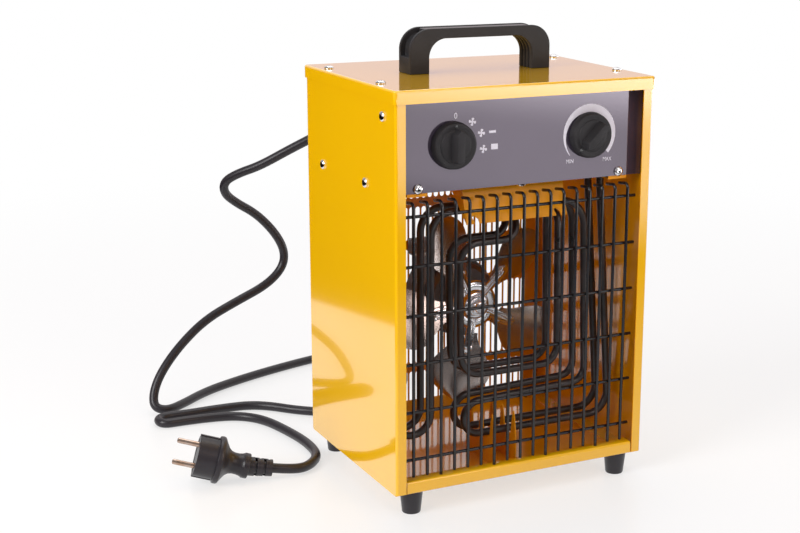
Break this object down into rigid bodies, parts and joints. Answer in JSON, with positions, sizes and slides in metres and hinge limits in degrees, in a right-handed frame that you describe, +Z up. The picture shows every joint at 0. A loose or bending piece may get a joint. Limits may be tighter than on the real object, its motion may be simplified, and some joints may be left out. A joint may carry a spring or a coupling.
{
  "type": "forced air heater",
  "caption": "Box-shaped forced air heater: sheet-metal case on rubber feet, wire grille, tubular heating elements, fan, switch and thermostat knobs, carrying handle and mains lead with plug.",
  "frame": {"origin": "on the floor, under the middle of the box that encloses the heater without its lead", "axes": "+X to the right as seen from the front, +Y to the rear, +Z up"},
  "size_m": [0.3858, 0.4506, 0.3951],
  "materials": {
    "yellow_paint": "gloss",
    "black_paint": "gloss",
    "wire_black": "satin",
    "element_black": "satin, dark oxide",
    "zinc_steel": "satin, zinc plated",
    "bright_steel": "polished",
    "blade_metal": "satin",
    "motor_metal": "satin",
    "black_plastic": "fine grain",
    "grip_plastic": "semi-gloss",
    "white_plastic": "matt",
    "brown_plastic": "semi-gloss",
    "black_rubber": "matt",
    "brass_parts": "satin"
  },
  "bodies": {
    "housing": {"left_side_panel": "yellow_paint", "right_side_panel": "yellow_paint", "base_tray": "yellow_paint", "top_lid": "yellow_paint", "rear_panel": "yellow_paint", "control_panel": "black_paint", "partition_plate": "yellow_paint", "rubber_feet": "black_rubber", "front_grille": "wire_black", "outer_element": "element_black", "inner_element": "element_black", "element_terminals": "zinc_steel", "element_bracket": "yellow_paint", "element_clip": "yellow_paint", "thermal_cutout": "bright_steel", "motor_body": "motor_metal", "motor_front_cap": "motor_metal", "motor_rear_cap": "motor_metal", "motor_bracket": "zinc_steel", "rotary_switch": "white_plastic", "thermostat": "brown_plastic", "thermostat_bulb": "brass_parts", "bulb_clips": "zinc_steel", "terminal_block": "white_plastic", "handle": "black_plastic", "handle_grip": "grip_plastic", "side_screws": "bright_steel", "lid_screws": "bright_steel", "panel_screws": "bright_steel", "rear_screws": "bright_steel", "base_screws": "bright_steel", "foot_screws": "bright_steel", "handle_screws": "bright_steel", "cable_gland": "black_plastic", "power_cord": "black_rubber", "plug_body": "black_rubber", "plug_pins": "bright_steel", "plug_contacts": "brass_parts"},
    "fan": {"fan_shaft": "bright_steel", "fan_spider": "bright_steel", "fan_blades": "blade_metal", "fan_nut": "bright_steel"},
    "switch_dial": {"switch_knob": "black_plastic", "switch_spindle": "zinc_steel"},
    "thermostat_dial": {"thermostat_knob": "black_plastic", "thermostat_spindle": "zinc_steel"}
  },
  "joints": [
    {"name": "fan_spin", "type": "hinge", "parent": "housing", "child": "fan", "pos_m": [0, 0.00735, 0.148], "axis": [0, 1, 0], "continuous": true},
    {"name": "switch_turn", "type": "hinge", "parent": "housing", "child": "switch_dial", "pos_m": [-0.06432, -0.07815, 0.3093], "axis": [0, 1, 0], "range_deg": [0, 97]},
    {"name": "thermostat_turn", "type": "hinge", "parent": "housing", "child": "thermostat_dial", "pos_m": [0.06432, -0.07815, 0.3093], "axis": [0, 1, 0], "range_deg": [0, 270]}
  ]
}
